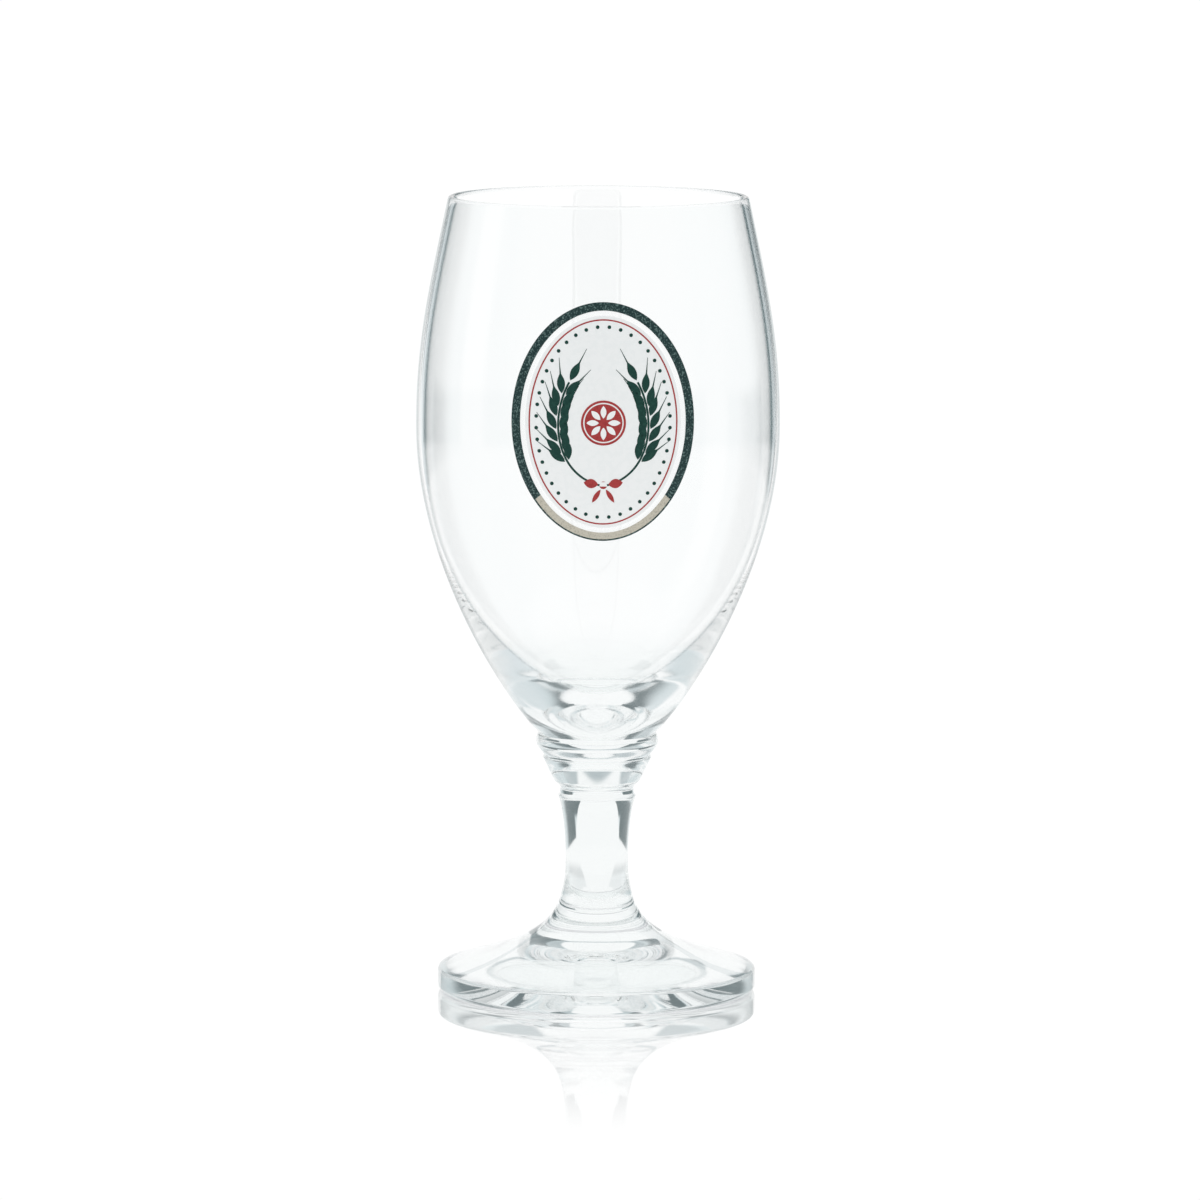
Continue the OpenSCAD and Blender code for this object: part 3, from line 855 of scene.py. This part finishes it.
def backdrop():
    """A white card behind the glass, narrower at the top."""
    deselect_all()
    bpy.ops.mesh.primitive_plane_add(size=2 * BACKDROP_HALF, location=(0, BACKDROP_Y, 0),
                                     rotation=(pi / 2, 0, 0))
    card = bpy.context.active_object
    card.name = card.data.name = "backdrop"
    put_place_in_mesh()
    edit_where(card, lambda place: place.z > 0)
    bpy.ops.transform.translate(value=(0, 0, BACKDROP_H - BACKDROP_HALF))
    bpy.ops.transform.resize(value=(BACKDROP_TOP_HALF / BACKDROP_HALF, 1, 1),
                             center_override=(0, BACKDROP_Y, BACKDROP_H))
    leave_edit()
    edit_where(card, lambda place: place.z < 0)
    bpy.ops.transform.translate(value=(0, 0, BACKDROP_HALF - FLOOR_DROP))
    leave_edit()
    material, tree = new_material("backdrop")
    tree.nodes.remove(tree.nodes["Principled BSDF"])
    lit = node(tree, "ShaderNodeEmission", {"Color": WHITE, "Strength": STRENGTH})
    tree.links.new(lit.outputs[0], tree.nodes["Material Output"].inputs[0])
    card.data.materials.append(material)


# The table top: its size, how strongly it mirrors and where the mirror fades out
FLOOR_HALF = 0.22
FLOOR_BACK = 0.36
FLOOR_FRONT = -0.8
FLOOR_DROP = 0.2 * MM
FLOOR_IOR = 1.45
FLOOR_ROUGHNESS = 0.03
MIRROR = 2.1
MIRROR_FADE = (0.03, 0.17)
# The thin painted shadow under the foot's edge
CONTACT_R = FOOT_R - EDGE_BOTTOM_R
CONTACT_REACH = (0.3 * MM, 1.8 * MM)
CONTACT_SHADE = 0.6
PAINTED_CONTACT_SHADOW_TONE = (0.42, 0.4, 0.44, 1)


def floor_material():
    """A lit white surface that mirrors what stands on it, with a thin painted shadow where the foot stands.
    """
    material, tree = new_material("floor")
    tree.nodes.remove(tree.nodes["Principled BSDF"])
    place = node(tree, "ShaderNodeTexCoord").outputs["Object"]
    away = node(tree, "ShaderNodeVectorMath", {0: place}, operation="LENGTH").outputs["Value"]
    near = calculated(tree, "SUBTRACT", 1, eased(tree, away, *MIRROR_FADE))
    grazing = node(tree, "ShaderNodeFresnel", {0: FLOOR_IOR}).outputs[0]
    share = calculated(tree, "MINIMUM", calculated(tree, "MULTIPLY", grazing, MIRROR), 1)
    share = calculated(tree, "MULTIPLY", share, near)
    # Painted shadow: the floor's light turns dark and purplish in a thin ring where the foot's edge stands
    from_ring = calculated(tree, "ABSOLUTE", calculated(tree, "SUBTRACT", away, CONTACT_R))
    painted_contact_shadow = calculated(tree, "SUBTRACT", 1, eased(tree, from_ring, *CONTACT_REACH))
    tone = blended(tree, calculated(tree, "MULTIPLY", painted_contact_shadow, CONTACT_SHADE), WHITE, PAINTED_CONTACT_SHADOW_TONE)
    lit = node(tree, "ShaderNodeEmission", {"Color": tone, "Strength": STRENGTH})
    mirror = node(tree, "ShaderNodeBsdfGlossy", {"Color": WHITE, "Roughness": FLOOR_ROUGHNESS})
    mixed = node(tree, "ShaderNodeMixShader", {0: share, 1: lit.outputs[0], 2: mirror.outputs[0]})
    tree.links.new(mixed.outputs[0], tree.nodes["Material Output"].inputs[0])
    return material


def pale_floor():
    """A white table top, which widens behind the glass to meet the card."""
    deselect_all()
    middle_y = (FLOOR_FRONT + FLOOR_BACK) / 2
    bpy.ops.mesh.primitive_plane_add(size=1, location=(0, middle_y, TABLE_Z - FLOOR_DROP))
    floor = bpy.context.active_object
    floor.name = floor.data.name = "floor"
    floor.scale = (2 * FLOOR_HALF, FLOOR_BACK - FLOOR_FRONT, 1)
    put_place_in_mesh()
    bpy.ops.object.mode_set(mode="EDIT")
    bpy.ops.mesh.select_mode(type="EDGE")
    bpy.ops.mesh.select_all(action="DESELECT")
    leave_edit()
    ends = floor.data.vertices
    for edge in floor.data.edges:
        edge.select = all(ends[i].co.y > 0 for i in edge.vertices)
    bpy.ops.object.mode_set(mode="EDIT")
    bpy.ops.mesh.extrude_region_move(TRANSFORM_OT_translate={"value": (0, BACKDROP_Y - FLOOR_BACK, 0)})
    bpy.ops.transform.resize(value=(BACKDROP_HALF / FLOOR_HALF, 1, 1))
    bpy.ops.mesh.select_mode(type="VERT")
    leave_edit()
    floor.data.materials.append(floor_material())


# The camera: its distance, height and shift aside, its turn, pitch and roll, and its lens in millimetres
CAMERA_AWAY = 1.5715
CAMERA_UP = 0.2884
CAMERA_SIDE = 0.55 * MM
CAMERA_TURN = radians(-1.7)
CAMERA_PITCH = radians(7.329)
CAMERA_ROLL = radians(0.17)
SENSOR = 36
LENS = 216.76
SIGHT = 50


def photo_camera():
    """The camera as in the photograph."""
    ahead = Vector((-sin(CAMERA_TURN), cos(CAMERA_TURN), 0))
    aside = Vector((cos(CAMERA_TURN), sin(CAMERA_TURN), 0))
    place = CAMERA_SIDE * aside - CAMERA_AWAY * ahead + Vector((0, 0, CAMERA_UP))
    look = cos(CAMERA_PITCH) * ahead - Vector((0, 0, sin(CAMERA_PITCH)))
    turn = look.to_track_quat("-Z", "Y").to_matrix() @ Matrix.Rotation(CAMERA_ROLL, 3, "Z")
    bpy.ops.object.camera_add(location=place, rotation=turn.to_euler())
    camera = bpy.context.active_object
    camera.name = "camera"
    camera.data.sensor_width = SENSOR
    camera.data.lens = LENS
    camera.data.clip_end = SIGHT
    bpy.context.scene.camera = camera


weld = weld_material()
blown = glass_material("blown_glass", *BLOWN_WAVES)
pressed = glass_material("pressed_glass", *PRESSED_WAVES)
bowl = turned("bowl", bowl_outline(), [BOWL_Z], blown, weld)
turned("collar", collar_outline(), [COLLAR_Z, BOWL_Z], blown, weld)
turned("knop", knop_outline(), [KNOP_Z, COLLAR_Z], blown, weld)
turned("stem", stem_outline(), [STEM_Z, KNOP_Z], blown, weld)
turned("foot", foot_outline(), [STEM_Z], pressed, weld)

paints = {name: enamel(*ink) for name, ink in INKS.items()}
print_pieces(bowl, paints)

pale_floor()
backdrop()
studio()
photo_camera()

# Light that runs along inside the glass turns many times before it leaves
BOUNCES = 160
render = bpy.context.scene
render.view_settings.view_transform = "Standard"
render.cycles.max_bounces = BOUNCES
render.cycles.transmission_bounces = BOUNCES
render.cycles.transparent_max_bounces = BOUNCES
render.cycles.glossy_bounces = BOUNCES
render.cycles.blur_glossy = 0
render.cycles.sample_clamp_indirect = 0
render.cycles.use_denoising = True
